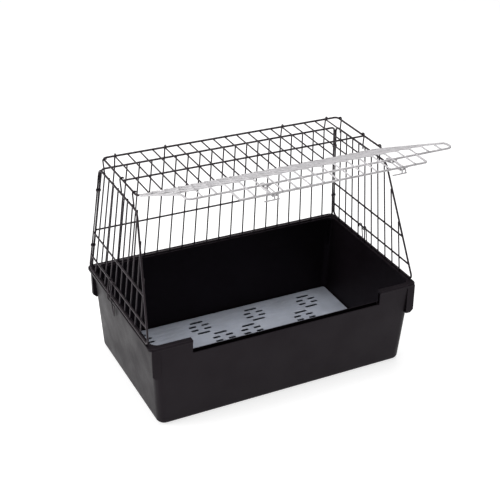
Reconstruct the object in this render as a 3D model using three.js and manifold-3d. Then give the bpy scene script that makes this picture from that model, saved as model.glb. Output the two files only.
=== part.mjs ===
// A car-travel dog crate: a deep plastic tub, a knock-down cage of welded wire grilles that hook
// together above it, and a wire door that swings up from the roof's front wire.
// Millimetres, +X along the crate, +Y to the back, +Z up. Each piece is drawn about the middle of
// the tub's underside, and the whole is then moved so that the origin is under its own middle.
import * as THREE from "three";
import { mergeVertices } from "three/addons/utils/BufferGeometryUtils.js";
import Module from "manifold-3d";

const wasm = await Module();
wasm.setup();
const { Manifold, Mesh } = wasm;

// ---- driving dimensions -------------------------------------------------------------------
// Tub
const TUB_LENGTH = 820; // over the rim
const TUB_WIDTH = 500; // over the rim
const TUB_HEIGHT = 261;
const TUB_WALL = 4;
const TUB_FLOOR = 4;
const SIDE_OVERHANG = 10; // rim past the end walls
const FRONT_OVERHANG = 1; // rim past the front wall
const REAR_OVERHANG = 18; // rim past the back wall
const END_DRAFT = 17; // each end wall leans in by this much from rim to floor
const FRONT_DRAFT = 18;
const REAR_DRAFT = 3;
const BODY_CORNER = 24; // plan radius of the walls
const BASE_ROUND = 12; // rounding where walls meet the floor
const RIM_CORNER = 18;
const RIM_THICKNESS = 8;
const RIM_FRONT = 19; // width of the rim's flat top, front
const RIM_REAR = 27;
const RIM_SIDE = 15;
const SKIRT = 3; // inner skirt under the front rim
const RECESS_CLEARANCE = 32.5; // from the door's tongue to each end of the recess
const RECESS_DEPTH = 43;
const TROUGH_DEPTH = 14; // groove along the recess that the latches drop into
const TROUGH_BACK = 22.5; // from the rim's front edge to the groove's inner side
const TROUGH_WALL = 3;
const EAR_HEIGHT = 90; // stiffening rib under each corner of the rim
const EAR_REACH = 6; // how far the rim's end passes the rib
const EAR_THICKNESS = 12;
const EAR_LENGTH = 24;
const EAR_CHAMFER = 9;
const SINK = 1; // how far moulded parts of the tub run into each other

// Floor grid
const GRID_CLEARANCE = 5; // to the tub walls at floor level
const GRID_PLATE = 3;
const GRID_SKIRT = 4;
const GRID_CORNER = 8;
const SLOT_WIDTH = 9;
const SLOT_SHORT = 24;
const SLOT_LONG = 42;
const SLOT_GAP = 18; // between the two short slots of a row
const CLUSTER_ROWS = [-2, -1, 0, 1, 2];
const CLUSTER_ROW_SHARE = 0.366; // pitch of the rows, against half the grid's width
const SLOT_ROW_SHARE = 0.2547; // pitch of the slots in a cluster, against that of the rows
const OUTER_CLUSTERS = [-0.745, -0.248, 0.248, 0.745]; // against half the grid's length
const INNER_CLUSTERS = [-0.614, -0.1255, 0.1255, 0.614]; // in the second and fourth rows
const RUNNER_THICKNESS = 4;

// Wire
const FRAME_WIRE = 5.5; // grille borders
const RAIL_WIRE = 5; // wires along a grille
const MESH_WIRE = 3.8; // close-set upright wires
const CLIP_WIRE = 3.2;
const LATCH_WIRE = 3.6;
const WELD = 1.1; // how far two crossed wires sink into each other
const OVERRUN = 1.1; // how far a mesh wire's end passes the middle of the border wire
const BUTT = 0.4; // between the ends of a bent border, inside its butt weld
const BEAD_SHARE = 1.16; // diameter of a butt weld against its wire
const BEAD_LENGTH = 6;
const GAP = 0.35; // clearance between pieces that touch or turn on each other

// Cage; insets are from the rim's outer edge on the same side
const CELLS = 20; // mesh cells along the crate
const ROOF_ABOVE_RIM = 363;
const ROOF_END_INSET = 43;
const ROOF_REAR_INSET = 76.5;
const ROOF_FRONT_INSET = 164.5;
const ROOF_MIDDLE_SET = 101.5; // from the roof's front wire to its middle one
const ROOF_CORNER = 12;
const BACK_BELOW_ROOF = 39;
const BACK_TOP_INSET = 61.5;
const BACK_FOOT_INSET = 20;
const BACK_RAIL_RISE = 128; // above the rim
const PANEL_CORNER = 10;
const SIDE_BELOW_ROOF = 37;
const SIDE_TOP_INSET = 36.5;
const SIDE_FOOT_INSET = 4.5;
const SIDE_FRONT_AHEAD = 13.5; // of the roof's front wire, at the side's top
const SIDE_FRONT_FOOT_INSET = 20;
const SIDE_RAIL_RISES = [122.6, 45.8]; // above the rim
const SIDE_SPACES_TOP = 8.137; // upright spaces in the side's width at its top, and at its foot
const SIDE_SPACES_FOOT = 11.646;
const SIDE_WIRES = 10;
const SIDE_CORNER = 18;
const SIDE_CORNER_DROP = 3; // how much lower an upright starts under the bend of that corner
const LEG_CLEARANCE = 0.5; // between the corner wires of the back and side grilles
const BACK_HOOK_WIRES = [-9, -5, 5, 9];
const REAR_HOOK_SET = 16.5; // side hooks: ahead of the roof's rear wire,
const MIDDLE_HOOK_SET = 8; // behind its middle one
const FRONT_HOOK_SET = 17.5; // and behind its front one
const HOOK_ROOT = 2; // below the side's top wire
const HOOK_END = (150 * Math.PI) / 180; // how far a hook wraps over a roof wire
const TIE_RISES = [79, 259]; // corner ties, above the rim
const TIE_WALL = 1.4;
const TIE_WIDTH = 5;

// Door, measured along the door from its hinge wire
const DOOR_INSET = 2; // from the roof's side wires
const HINGE_SPARE = 2.9; // between the hinge wire and the door's top wire
const DOOR_BEND_SHORT = 76.53; // how far the bend stops short of the rim's front edge
const DOOR_LIP = 32;
const DOOR_TONGUE = 50;
const DOOR_RAILS = [0.348, 0.677]; // shares of the way to the bend
const DOOR_OPEN = 24.3; // degrees above level, as it stands open
const DOOR_LIP_BEND = 24.3; // degrees that the lip and tongue turn in
const DOOR_CORNER = 16;
const TONGUE_CELLS = 3; // mesh cells by which the tongue is narrower at each end
const HINGE_CLIP_CELLS = [-8.5, -3.5, 3.5, 8.5];
const HINGE_CLIP_WIDTH = 14;
const HINGE_CLIP_WALL = 1.4;

// Latches
const LATCH_CELLS = { right: 5.04, left: -4.52 }; // mesh cells from the door's middle
const LATCH_RODS = 10; // between the two rods
const LATCH_BAR = 39; // the cross bar, most of it to the left of the rods
const LATCH_BAR_END = 3; // how far it passes the right rod
const LATCH_REACH = 14; // from the tongue to the cross bar
const LATCH_STAND = 20; // how far the rods stand past the lip wire
const LATCH_BEND = 3;
const GUIDE_WIDTH = 6;
const GUIDE_SETBACK = 2; // of the lower guide from the tongue's edge wire
const GUIDE_SHEET = 1.2;
const GUIDE_EAR = 6;

// Side clips
const CLIP_CELL = 4.5; // cells from the back corner to the middle of a clip
const CLIP_SPREAD = 0.668; // between its legs, against the uprights' pitch
const CLIP_SHOULDER_DROP = 25; // below the rim's top
const CLIP_NOSE_DROP = 65;
const CLIP_EASE = 4; // above the rim, where the legs turn down
const CLIP_TUCK = 2; // below the rim, where they turn in
const CLIP_BEND = 3;
const CLIP_EYE_WRAP = 1.35 * Math.PI;

// ---- sizes worked out from them -----------------------------------------------------------
const RIM_FRONT_Y = -TUB_WIDTH / 2;
const RIM_REAR_Y = TUB_WIDTH / 2;
const ROOF_HEIGHT = TUB_HEIGHT + ROOF_ABOVE_RIM;
const ROOF_HALF = TUB_LENGTH / 2 - ROOF_END_INSET;
const ROOF_FRONT = RIM_FRONT_Y + ROOF_FRONT_INSET;
const ROOF_REAR = RIM_REAR_Y - ROOF_REAR_INSET;
const ROOF_MIDDLE = ROOF_FRONT + ROOF_MIDDLE_SET;
const BACK_TOP = ROOF_HEIGHT - BACK_BELOW_ROOF;
const SIDE_TOP = ROOF_HEIGHT - SIDE_BELOW_ROOF;
const CAGE_SEAT = TUB_HEIGHT + GAP + FRAME_WIRE / 2; // height of the wires that stand on the rim
const LEG_PITCH = FRAME_WIRE + LEG_CLEARANCE;
const DOOR_HALF = ROOF_HALF - DOOR_INSET;
const DOOR_TOP = FRAME_WIRE + HINGE_SPARE;
const DOOR_BEND = Math.hypot(ROOF_FRONT_INSET, ROOF_ABOVE_RIM) - DOOR_BEND_SHORT;
const LIP_EDGE = DOOR_BEND + DOOR_LIP;
const TONGUE_EDGE = LIP_EDGE + DOOR_TONGUE;
const DOOR_PITCH = (2 * DOOR_HALF) / CELLS;
const TONGUE_HALF = DOOR_HALF - TONGUE_CELLS * DOOR_PITCH;
const RECESS_HALF = TONGUE_HALF + RECESS_CLEARANCE;
const RECESS_TOP = TUB_HEIGHT - RECESS_DEPTH;
const TROUGH_FOOT = RECESS_TOP - TROUGH_DEPTH - TROUGH_WALL;

// ---- looks --------------------------------------------------------------------------------
const finish = (color, roughness, metalness) =>
  new THREE.MeshStandardMaterial({ color, roughness, metalness });
const tubPlastic = () => finish(0x242122, 0.6, 0);
const gridPlastic = () => finish(0x737a84, 0.55, 0);
const blackWire = () => finish(0x2b292b, 0.45, 0.3);
const silverWire = () => finish(0xc8c6c8, 0.35, 0.7);
const springSteel = () => finish(0x8f8f92, 0.3, 0.9);

// ---- solids -------------------------------------------------------------------------------
const at = (x, y, z) => new THREE.Vector3(x, y, z);
const lerp = THREE.MathUtils.lerp;
const radians = THREE.MathUtils.degToRad;

function solidFrom(geometry) {
  geometry.deleteAttribute("normal");
  geometry.deleteAttribute("uv");
  const merged = mergeVertices(geometry, 1e-4);
  return new Manifold(
    new Mesh({
      numProp: 3,
      vertProperties: merged.attributes.position.array,
      triVerts: new Uint32Array(merged.index.array),
    }),
  );
}

function meshFrom(solid, name, material) {
  const made = solid.getMesh();
  const geometry = new THREE.BufferGeometry();
  geometry.setAttribute("position", new THREE.BufferAttribute(made.vertProperties, 3));
  geometry.setIndex(new THREE.BufferAttribute(made.triVerts, 1));
  geometry.computeVertexNormals();
  const mesh = new THREE.Mesh(geometry, material);
  mesh.name = name;
  return mesh;
}

const join = (solids) => Manifold.union(solids);

function block(low, high) {
  const size = high.clone().sub(low);
  const geometry = new THREE.BoxGeometry(size.x, size.y, size.z);
  const middle = low.clone().add(high).multiplyScalar(0.5);
  return solidFrom(geometry.translate(middle.x, middle.y, middle.z));
}

// A path through given points, whose sections lie exactly at the points.
class WirePath extends THREE.Curve {
  constructor(points) {
    super();
    this.points = points;
  }

  getPoint(t, target = new THREE.Vector3()) {
    const place = t * (this.points.length - 1);
    const index = Math.min(Math.floor(place), this.points.length - 2);
    return target.lerpVectors(this.points[index], this.points[index + 1], place - index);
  }

  getPointAt(u, target) {
    return this.getPoint(u, target);
  }

  getTangentAt(u, target = new THREE.Vector3()) {
    const last = this.points.length - 1;
    const index = Math.round(u * last);
    const here = this.points[index];
    const into = here.clone().sub(this.points[Math.max(index - 1, 0)]).normalize();
    const out = this.points[Math.min(index + 1, last)].clone().sub(here).normalize();
    return target.addVectors(into, out).normalize();
  }
}

const BEND_SHARE = 0.45; // the most of a straight that one bend takes up

function roundCorners(points, radius, steps) {
  const path = [points[0]];
  for (let i = 1; i < points.length - 1; i += 1) {
    const before = points[i].clone().sub(points[i - 1]);
    const after = points[i + 1].clone().sub(points[i]);
    const reach = Math.min(radius, before.length() * BEND_SHARE, after.length() * BEND_SHARE);
    const start = points[i].clone().addScaledVector(before.normalize(), -reach);
    const end = points[i].clone().addScaledVector(after.normalize(), reach);
    path.push(...new THREE.QuadraticBezierCurve3(start, points[i], end).getPoints(steps));
  }
  path.push(points[points.length - 1]);
  return path;
}

// A wire along a list of points; a square one has the same cross-section area as the round wire.
function wire(points, diameter, { bend = 0, square = false, steps = 3 } = {}) {
  const sides = square ? 4 : 6;
  const reach = (diameter / 2) * (square ? Math.sqrt(Math.PI / 2) : 1);
  const section = new THREE.Shape();
  for (let i = 0; i < sides; i += 1) {
    const angle = (2 * Math.PI * i) / sides + (square ? Math.PI / 4 : 0);
    const x = reach * Math.cos(angle);
    const y = reach * Math.sin(angle);
    if (i === 0) section.moveTo(x, y);
    else section.lineTo(x, y);
  }
  const path = bend > 0 ? roundCorners(points, bend, steps) : points;
  return solidFrom(
    new THREE.ExtrudeGeometry(section, {
      extrudePath: new WirePath(path),
      steps: path.length - 1,
      bevelEnabled: false,
    }),
  );
}

const meshWire = (points, bend = 0) => wire(points, MESH_WIRE, { bend, square: true, steps: 2 });
const rail = (points) => wire(points, RAIL_WIRE, { square: true });

// A closed border of wire, its ends butt-welded in the middle of its first side.
function wireLoop(corners, diameter, bend) {
  const start = corners[0].clone().lerp(corners[1], 0.5);
  const along = corners[1].clone().sub(corners[0]).normalize();
  const end = start.clone().addScaledVector(along, -BUTT);
  const bead = [-BEAD_LENGTH / 2, BEAD_LENGTH / 2].map((reach) =>
    start.clone().addScaledVector(along, reach),
  );
  return join([
    wire([start, ...corners.slice(1), corners[0], end], diameter, { bend }),
    wire(bead, diameter * BEAD_SHARE),
  ]);
}

// A wire bent round another: centre of the other wire, the two directions of the bend's plane.
function hookPoints(centre, out, up, radius, from, to, turns = 4) {
  const points = [];
  for (let i = 0; i <= turns; i += 1) {
    const angle = lerp(from, to, i / turns);
    points.push(
      centre
        .clone()
        .addScaledVector(out, radius * Math.cos(angle))
        .addScaledVector(up, radius * Math.sin(angle)),
    );
  }
  return points;
}

function roundedRectangle(left, right, front, rear, radius) {
  const shape = new THREE.Shape();
  shape.moveTo(left + radius, front);
  shape.absarc(right - radius, front + radius, radius, -Math.PI / 2, 0);
  shape.absarc(right - radius, rear - radius, radius, 0, Math.PI / 2);
  shape.absarc(left + radius, rear - radius, radius, Math.PI / 2, Math.PI);
  shape.absarc(left + radius, front + radius, radius, Math.PI, 1.5 * Math.PI);
  return shape;
}

// A rounded block built up through levels, each with its own height and outline.
function stacked(levels, radius) {
  const top = levels[levels.length - 1];
  const shape = roundedRectangle(-top.half, top.half, top.front, top.rear, radius);
  const geometry = new THREE.ExtrudeGeometry(shape, {
    depth: 1,
    steps: levels.length - 1,
    bevelEnabled: false,
    curveSegments: 2,
  });
  const position = geometry.attributes.position;
  for (let i = 0; i < position.count; i += 1) {
    const level = levels[Math.round(position.getZ(i) * (levels.length - 1))];
    const share = (position.getY(i) - top.front) / (top.rear - top.front);
    position.setXYZ(
      i,
      (position.getX(i) * level.half) / top.half,
      lerp(level.front, level.rear, share),
      level.z,
    );
  }
  return solidFrom(geometry);
}

// ---- tub ----------------------------------------------------------------------------------
// The outline of the tub's outer faces at a height, and of its inner faces.
function outerLevel(z, inset = 0) {
  const drop = 1 - z / TUB_HEIGHT;
  return {
    z,
    half: TUB_LENGTH / 2 - SIDE_OVERHANG - END_DRAFT * drop - inset,
    front: RIM_FRONT_Y + FRONT_OVERHANG + FRONT_DRAFT * drop + inset,
    rear: RIM_REAR_Y - REAR_OVERHANG - REAR_DRAFT * drop - inset,
  };
}

const innerLevel = (z, inset = 0) => ({ ...outerLevel(z, TUB_WALL + inset), z });

const roundedFoot = (level, floor, radius) =>
  [0, 30, 60, 90].map((degrees) => {
    const angle = radians(degrees);
    return level(floor + radius * (1 - Math.cos(angle)), radius * (1 - Math.sin(angle)));
  });

function rimOpening(low, high) {
  const level = (z) => ({
    z,
    half: TUB_LENGTH / 2 - RIM_SIDE,
    front: RIM_FRONT_Y + RIM_FRONT,
    rear: RIM_REAR_Y - RIM_REAR,
  });
  return stacked([level(low), level(high)], BODY_CORNER - TUB_WALL);
}

function tubWalls() {
  const cut = 20;
  const outside = stacked(
    [...roundedFoot(outerLevel, 0, BASE_ROUND), outerLevel(TUB_HEIGHT - SINK)],
    BODY_CORNER,
  );
  const inside = stacked(
    [
      ...roundedFoot(innerLevel, TUB_FLOOR, BASE_ROUND - TUB_WALL),
      innerLevel(TUB_HEIGHT + cut),
    ],
    BODY_CORNER - TUB_WALL,
  );
  return outside.subtract(inside);
}

function tubRim() {
  const level = (z) => ({ z, half: TUB_LENGTH / 2, front: RIM_FRONT_Y, rear: RIM_REAR_Y });
  const plate = stacked([level(TUB_HEIGHT - RIM_THICKNESS), level(TUB_HEIGHT)], RIM_CORNER);
  return plate.subtract(rimOpening(TUB_HEIGHT - RIM_THICKNESS - SINK, TUB_HEIGHT + SINK));
}

// The skirts that turn down inside the front rim, to each side of the recess.
function frontSkirt(side) {
  const y = RIM_FRONT_Y + RIM_FRONT;
  const start = RECESS_HALF + TROUGH_WALL / 2;
  const end = TUB_LENGTH / 2 - RIM_SIDE - BODY_CORNER;
  return block(
    at(Math.min(side * start, side * end), y - SKIRT, TROUGH_FOOT),
    at(Math.max(side * start, side * end), y, TUB_HEIGHT - SINK),
  );
}

// The groove's floor, inner side and ends; its outer side is the front wall.
function trough() {
  const end = RECESS_HALF;
  const front = outerLevel(RECESS_TOP).front + TUB_WALL / 2;
  const back = RIM_FRONT_Y + TROUGH_BACK;
  const floor = block(
    at(-end - TROUGH_WALL, front, TROUGH_FOOT),
    at(end + TROUGH_WALL, back + TROUGH_WALL, TROUGH_FOOT + TROUGH_WALL),
  );
  const low = TROUGH_FOOT + TROUGH_WALL / 2;
  const inner = block(
    at(-end - TROUGH_WALL, back, low),
    at(end + TROUGH_WALL, back + TROUGH_WALL, RECESS_TOP),
  );
  const cap = (x) => block(at(x, front, low), at(x + TROUGH_WALL, back + SINK, RECESS_TOP));
  return join([floor, inner, cap(end), cap(-end - TROUGH_WALL)]);
}

function recessCut() {
  const margin = 10;
  return block(
    at(-RECESS_HALF, RIM_FRONT_Y - margin, RECESS_TOP),
    at(RECESS_HALF, RIM_FRONT_Y + RIM_FRONT + margin, TUB_HEIGHT + margin),
  );
}

function cornerEar(side, end) {
  const outer = TUB_LENGTH / 2 - EAR_REACH;
  const inner = outer - EAR_LENGTH;
  const top = TUB_HEIGHT - RIM_THICKNESS / 2;
  const foot = top - EAR_HEIGHT;
  const profile = new THREE.Shape();
  profile.moveTo(side * inner, foot);
  profile.lineTo(side * (outer - EAR_CHAMFER), foot);
  profile.lineTo(side * outer, foot + EAR_CHAMFER);
  profile.lineTo(side * outer, top);
  profile.lineTo(side * inner, top);
  const rib = new THREE.ExtrudeGeometry(profile, { depth: EAR_THICKNESS, bevelEnabled: false });
  rib.rotateX(Math.PI / 2); // the profile stands up, its thickness runs towards -Y
  const face = outerLevel(TUB_HEIGHT);
  return solidFrom(rib.translate(0, end === "front" ? face.front + EAR_THICKNESS : face.rear, 0));
}

function tub() {
  const ears = [1, -1].flatMap((side) =>
    ["front", "rear"].map((end) => cornerEar(side, end)),
  );
  return join([tubWalls(), tubRim(), frontSkirt(-1), frontSkirt(1), ...ears])
    .subtract(recessCut())
    .add(trough());
}

// ---- floor grid -----------------------------------------------------------------------------
function slot(x, y, length) {
  const cut = 1;
  const low = TUB_FLOOR + GRID_SKIRT - cut;
  const high = TUB_FLOOR + GAP + GRID_SKIRT + GRID_PLATE + cut;
  return block(
    at(x - length / 2, y - SLOT_WIDTH / 2, low),
    at(x + length / 2, y + SLOT_WIDTH / 2, high),
  );
}

// Six slots: one long, two pairs of short ones, one long.
function slotCluster(x, y, pitch) {
  const side = (SLOT_SHORT + SLOT_GAP) / 2;
  return [1.5, 0.5, -0.5, -1.5].flatMap((row) => {
    const rowY = y + row * pitch;
    if (Math.abs(row) > 1) return [slot(x, rowY, SLOT_LONG)];
    return [-side, side].map((offset) => slot(x + offset, rowY, SLOT_SHORT));
  });
}

function floorGrid() {
  const floor = innerLevel(TUB_FLOOR + GRID_SKIRT);
  const half = floor.half - GRID_CLEARANCE;
  const rear = floor.rear - GRID_CLEARANCE;
  const outline = roundedRectangle(-half, half, -rear, rear, GRID_CORNER);
  const rowPitch = rear * CLUSTER_ROW_SHARE;
  const slots = CLUSTER_ROWS.flatMap((row) => {
    const shares = row % 2 === 0 ? OUTER_CLUSTERS : INNER_CLUSTERS;
    return shares.flatMap((share) =>
      slotCluster(share * half, row * rowPitch, rowPitch * SLOT_ROW_SHARE),
    );
  });
  const foot = TUB_FLOOR + GAP;
  const plate = new THREE.ExtrudeGeometry(outline, {
    depth: GRID_PLATE,
    bevelEnabled: false,
    curveSegments: 2,
  });
  plate.translate(0, 0, foot + GRID_SKIRT);
  const end = half - BASE_ROUND;
  const reach = RUNNER_THICKNESS / 2;
  const runner = (y) =>
    block(at(-end, y - reach, foot), at(end, y + reach, foot + GRID_SKIRT + SINK));
  const runners = [-1, 0, 1].map((place) => runner(place * (rear - BASE_ROUND)));
  return join([solidFrom(plate).subtract(join(slots)), ...runners]);
}

// ---- cage -----------------------------------------------------------------------------------
const MESH_OFFSET = (FRAME_WIRE + MESH_WIRE) / 2 - WELD; // mesh wires lie inside the border
const backTo = (z) => (BACK_TOP - z) / (BACK_TOP - CAGE_SEAT);
const backY = (z) => lerp(RIM_REAR_Y - BACK_TOP_INSET, RIM_REAR_Y - BACK_FOOT_INSET, backTo(z));
const SIDE_FOOT_X = TUB_LENGTH / 2 - SIDE_FOOT_INSET;
const SIDE_TOP_X = TUB_LENGTH / 2 - SIDE_TOP_INSET;
const sideTo = (z) => (SIDE_TOP - z) / (SIDE_TOP - CAGE_SEAT);
const sideX = (z) => lerp(SIDE_TOP_X, SIDE_FOOT_X, sideTo(z));
const backHalf = (z) => sideX(z) - LEG_PITCH;

function roofGrille() {
  const rear = ROOF_REAR;
  const z = ROOF_HEIGHT;
  const border = wireLoop(
    [at(-ROOF_HALF, rear, z), at(ROOF_HALF, rear, z), at(ROOF_HALF, ROOF_FRONT, z),
      at(-ROOF_HALF, ROOF_FRONT, z)],
    FRAME_WIRE,
    ROOF_CORNER,
  );
  const middle = rail([at(-ROOF_HALF, ROOF_MIDDLE, z), at(ROOF_HALF, ROOF_MIDDLE, z)]);
  const wires = [border, middle];
  const pitch = (2 * ROOF_HALF) / CELLS;
  for (let k = 1 - CELLS / 2; k < CELLS / 2; k += 1) {
    const low = z - MESH_OFFSET;
    const ends = [ROOF_FRONT - OVERRUN, rear + OVERRUN];
    wires.push(meshWire(ends.map((y) => at(k * pitch, y, low))));
  }
  return join(wires);
}

// The bend of an upright that is carried up and over the roof's rear wire.
function backHook(x) {
  const radius = (FRAME_WIRE + MESH_WIRE) / 2 + GAP;
  return hookPoints(at(x, ROOF_REAR, ROOF_HEIGHT), at(0, 1, 0), at(0, 0, 1), radius, 0, HOOK_END);
}

function backGrille() {
  const corner = (side, z) => at(side * backHalf(z), backY(z), z);
  const border = wireLoop(
    [corner(-1, BACK_TOP), corner(1, BACK_TOP), corner(1, CAGE_SEAT), corner(-1, CAGE_SEAT)],
    FRAME_WIRE,
    PANEL_CORNER,
  );
  const railHeight = TUB_HEIGHT + BACK_RAIL_RISE;
  const wires = [border, rail([corner(-1, railHeight), corner(1, railHeight)])];
  for (let k = 1 - CELLS / 2; k < CELLS / 2; k += 1) {
    const place = (z) => at((k * backHalf(z)) / (CELLS / 2), backY(z) - MESH_OFFSET, z);
    const hook = BACK_HOOK_WIRES.includes(k) ? backHook(place(BACK_TOP).x) : [];
    wires.push(meshWire([place(CAGE_SEAT - OVERRUN), place(BACK_TOP + OVERRUN), ...hook]));
  }
  return join(wires);
}

// A point of a side grille: which side, how far forward, how high, how far inside the border.
const sideFrontY = (z) =>
  lerp(ROOF_FRONT - SIDE_FRONT_AHEAD, RIM_FRONT_Y + SIDE_FRONT_FOOT_INSET, sideTo(z));
const sidePoint = (side, y, z, inside = 0) => at(side * (sideX(z) - inside), y, z);

function sideHook(side, y) {
  const radius = (FRAME_WIRE + MESH_WIRE) / 2 + GAP;
  const bend = hookPoints(
    at(side * ROOF_HALF, y, ROOF_HEIGHT), at(side, 0, 0), at(0, 0, 1), radius, 0, HOOK_END,
  );
  return meshWire([sidePoint(side, y, SIDE_TOP - HOOK_ROOT, MESH_OFFSET), ...bend]);
}

// Upright wires fan out from the back corner; the ones furthest forward start on the front leg.
const SIDE_PITCH_TOP = (backY(SIDE_TOP) - sideFrontY(SIDE_TOP)) / SIDE_SPACES_TOP;
const SIDE_PITCH_FOOT = (backY(CAGE_SEAT) - sideFrontY(CAGE_SEAT)) / SIDE_SPACES_FOOT;
const sidePitch = (z) => lerp(SIDE_PITCH_TOP, SIDE_PITCH_FOOT, sideTo(z));
const uprightY = (k, z) => backY(z) - k * sidePitch(z);

function sideUprights(side) {
  const wires = [];
  for (let k = 1; k <= SIDE_WIRES; k += 1) {
    const ahead = (z) => uprightY(k, z) - sideFrontY(z);
    const fall = ahead(SIDE_TOP) / (ahead(SIDE_TOP) - ahead(CAGE_SEAT));
    const start = ahead(SIDE_TOP) > SIDE_CORNER / 4 ? 0 : fall;
    const drop = ahead(SIDE_TOP) < SIDE_CORNER ? SIDE_CORNER_DROP : 0;
    const top = lerp(SIDE_TOP, CAGE_SEAT, start) - drop;
    wires.push(
      meshWire([
        sidePoint(side, uprightY(k, top), top, MESH_OFFSET),
        sidePoint(side, uprightY(k, CAGE_SEAT), CAGE_SEAT - OVERRUN, MESH_OFFSET),
      ]),
    );
  }
  return wires;
}

function sideGrille(side) {
  const corner = (y, z) => sidePoint(side, y, z);
  const border = wireLoop(
    [
      corner(backY(SIDE_TOP), SIDE_TOP),
      corner(sideFrontY(SIDE_TOP), SIDE_TOP),
      corner(sideFrontY(CAGE_SEAT), CAGE_SEAT),
      corner(backY(CAGE_SEAT), CAGE_SEAT),
    ],
    FRAME_WIRE,
    SIDE_CORNER,
  );
  const rails = SIDE_RAIL_RISES.map((rise) => {
    const z = TUB_HEIGHT + rise;
    return rail([corner(backY(z), z), corner(sideFrontY(z), z)]);
  });
  const hookPlaces = [
    ROOF_REAR - REAR_HOOK_SET,
    ROOF_MIDDLE + MIDDLE_HOOK_SET,
    ROOF_FRONT + FRONT_HOOK_SET,
  ];
  const hooks = hookPlaces.map((y) => sideHook(side, y));
  return join([border, ...rails, ...sideUprights(side), ...hooks]);
}

// An oval ring closed round the two corner wires where back and side grilles meet.
function cornerTie(side, z) {
  const reach = FRAME_WIRE / 2 + GAP;
  const half = LEG_PITCH / 2;
  const oval = (radius) => {
    const path = new THREE.Shape();
    path.absarc(half, 0, radius, -Math.PI / 2, Math.PI / 2);
    path.absarc(-half, 0, radius, Math.PI / 2, 1.5 * Math.PI);
    return path;
  };
  const ring = oval(reach + TIE_WALL);
  ring.holes.push(new THREE.Path(oval(reach).getPoints(6).reverse()));
  const geometry = new THREE.ExtrudeGeometry(ring, {
    depth: TIE_WIDTH,
    bevelEnabled: false,
    curveSegments: 4,
  });
  geometry.translate(0, 0, -TIE_WIDTH / 2);
  const top = at(side * sideX(SIDE_TOP), backY(SIDE_TOP), SIDE_TOP);
  const foot = at(side * sideX(CAGE_SEAT), backY(CAGE_SEAT), CAGE_SEAT);
  const lean = new THREE.Quaternion().setFromUnitVectors(at(0, 0, 1), top.sub(foot).normalize());
  geometry.applyQuaternion(lean);
  geometry.translate(side * (sideX(z) - half), backY(z), z);
  return solidFrom(geometry);
}

// ---- door -----------------------------------------------------------------------------------
// A point of the door: across it, along it from the hinge wire, and above its outer face.
function doorPoint(x, along, above = 0) {
  const open = radians(DOOR_OPEN);
  const lip = radians(DOOR_OPEN - DOOR_LIP_BEND);
  const main = Math.min(along, DOOR_BEND);
  const rest = along - main;
  const angle = rest > 0 ? lip : open;
  return at(
    x,
    ROOF_FRONT - main * Math.cos(open) - rest * Math.cos(lip) + above * Math.sin(angle),
    ROOF_HEIGHT + main * Math.sin(open) + rest * Math.sin(lip) + above * Math.cos(angle),
  );
}

function doorBorder() {
  const half = DOOR_HALF;
  const corners = [
    doorPoint(-half, DOOR_TOP), doorPoint(half, DOOR_TOP), doorPoint(half, DOOR_BEND),
    doorPoint(half, LIP_EDGE), doorPoint(-half, LIP_EDGE), doorPoint(-half, DOOR_BEND),
  ];
  return wireLoop(corners, FRAME_WIRE, DOOR_CORNER);
}

function tongueBorder() {
  const half = TONGUE_HALF;
  const corners = [
    doorPoint(-half, LIP_EDGE), doorPoint(-half, TONGUE_EDGE),
    doorPoint(half, TONGUE_EDGE), doorPoint(half, LIP_EDGE),
  ];
  return wire(corners, FRAME_WIRE, { bend: DOOR_CORNER / 2 });
}

function doorGrille() {
  const wires = [doorBorder(), tongueBorder()];
  for (const share of DOOR_RAILS) {
    const along = share * DOOR_BEND;
    wires.push(rail([doorPoint(-DOOR_HALF, along), doorPoint(DOOR_HALF, along)]));
  }
  for (let k = 1 - CELLS / 2; k < CELLS / 2; k += 1) {
    const x = k * DOOR_PITCH;
    const end = Math.abs(x) < TONGUE_HALF - 1 ? TONGUE_EDGE : LIP_EDGE;
    const path = [DOOR_TOP - OVERRUN, DOOR_BEND, end + OVERRUN].map((along) =>
      doorPoint(x, along, MESH_OFFSET),
    );
    wires.push(meshWire(path, 2 * MESH_WIRE));
  }
  return join(wires);
}

// A strip crimped round the door's top wire that turns on the roof's front wire.
function hingeClip(cell) {
  const hole = FRAME_WIRE / 2 + GAP;
  const outer = hole + HINGE_CLIP_WALL;
  const sides = 12;
  const profile = new THREE.Shape();
  profile.absarc(0, 0, outer, Math.PI / 2, 1.5 * Math.PI);
  profile.absarc(DOOR_TOP, 0, outer, -Math.PI / 2, Math.PI / 2);
  for (const x of [0, DOOR_TOP]) {
    const bore = new THREE.Path();
    bore.absarc(x, 0, hole / Math.cos(Math.PI / sides), 0, 2 * Math.PI, true);
    profile.holes.push(new THREE.Path(bore.getSpacedPoints(sides)));
  }
  const geometry = new THREE.ExtrudeGeometry(profile, {
    depth: HINGE_CLIP_WIDTH,
    bevelEnabled: false,
    curveSegments: 4,
  });
  const along = doorPoint(0, 1).sub(doorPoint(0, 0));
  const across = at(1, 0, 0);
  const basis = new THREE.Matrix4().makeBasis(along, across.clone().cross(along), across);
  geometry.applyMatrix4(basis);
  geometry.translate(cell * DOOR_PITCH - HINGE_CLIP_WIDTH / 2, ROOF_FRONT, ROOF_HEIGHT);
  return solidFrom(geometry);
}

// ---- latches --------------------------------------------------------------------------------
const ROD_BELOW = (FRAME_WIRE + LATCH_WIRE) / 2 + GAP; // rods run on the door's inner face

const latchCentre = (side) => LATCH_CELLS[side] * DOOR_PITCH;

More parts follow.
